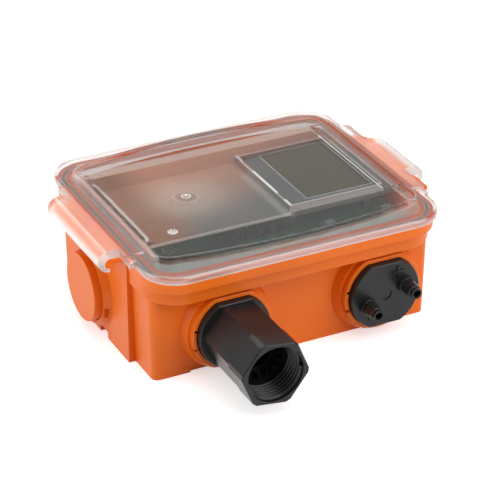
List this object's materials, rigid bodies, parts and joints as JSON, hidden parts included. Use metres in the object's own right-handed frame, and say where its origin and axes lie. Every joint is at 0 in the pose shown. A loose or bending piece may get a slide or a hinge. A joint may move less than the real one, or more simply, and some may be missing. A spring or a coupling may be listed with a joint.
{
  "type": "differential pressure sensor",
  "caption": "Wall-mounted differential pressure sensor in an orange moulded housing with a hinged clear lid, hose nipples, a conduit adapter and a display.",
  "frame": {"origin": "centre of the housing's flat back, which lies on the wall", "axes": "+X along the long side towards the pressure port, -Y out of the side with the ports, +Z away from the wall towards the lid"},
  "size_m": [0.1264, 0.1219, 0.0458],
  "materials": {
    "orange_plastic": "satin moulded",
    "clear_plastic": "clear and polished",
    "cover_plastic": "clear and lightly frosted",
    "black_plastic": "satin moulded",
    "grip_plastic": "satin moulded",
    "seal_rubber": "translucent silicone",
    "board_green": "satin solder resist",
    "screw_steel": "zinc plated",
    "display_frame": "satin",
    "display_glass": "polished",
    "terminal_plastic": "satin",
    "dark_plastic": "satin",
    "button_plastic": "satin",
    "led_plastic": "clear",
    "can_aluminium": "satin",
    "sensor_plastic": "satin",
    "hose_silicone": "satin"
  },
  "bodies": {
    "base": {"housing": "orange_plastic", "lid_gasket": "seal_rubber", "conduit_adapter": "black_plastic", "adapter_grip_ring": "grip_plastic", "adapter_oring": "seal_rubber", "port_insert": "black_plastic", "port_oring": "seal_rubber", "blank_plug": "orange_plastic", "plug_oring": "seal_rubber", "circuit_board": "board_green", "board_screws": "screw_steel", "inner_cover": "cover_plastic", "lcd_carrier": "display_frame", "lcd_glass": "display_glass", "lcd_connector": "dark_plastic", "terminal_block_supply": "terminal_plastic", "terminal_block_signal": "terminal_plastic", "terminal_screws": "screw_steel", "zero_switch": "dark_plastic", "status_led": "led_plastic", "controller_chip": "dark_plastic", "capacitors": "can_aluminium", "sensor_bracket": "sensor_plastic", "pressure_sensor": "sensor_plastic", "hose_high": "hose_silicone", "hose_low": "hose_silicone"},
    "lid": {"lid": "clear_plastic"},
    "zero_button": {"zero_button": "button_plastic"}
  },
  "joints": [
    {"name": "lid_hinge", "type": "hinge", "parent": "base", "child": "lid", "pos_m": [-0.0589, 0, 0.0383], "axis": [0, -1, 0], "range_deg": [0, 80]},
    {"name": "zero_press", "type": "slide", "parent": "base", "child": "zero_button", "axis": [0, 0, -1], "range_m": [0, 0.0005], "stiffness_N_per_m": 1000, "springref_m": -0.0005}
  ]
}
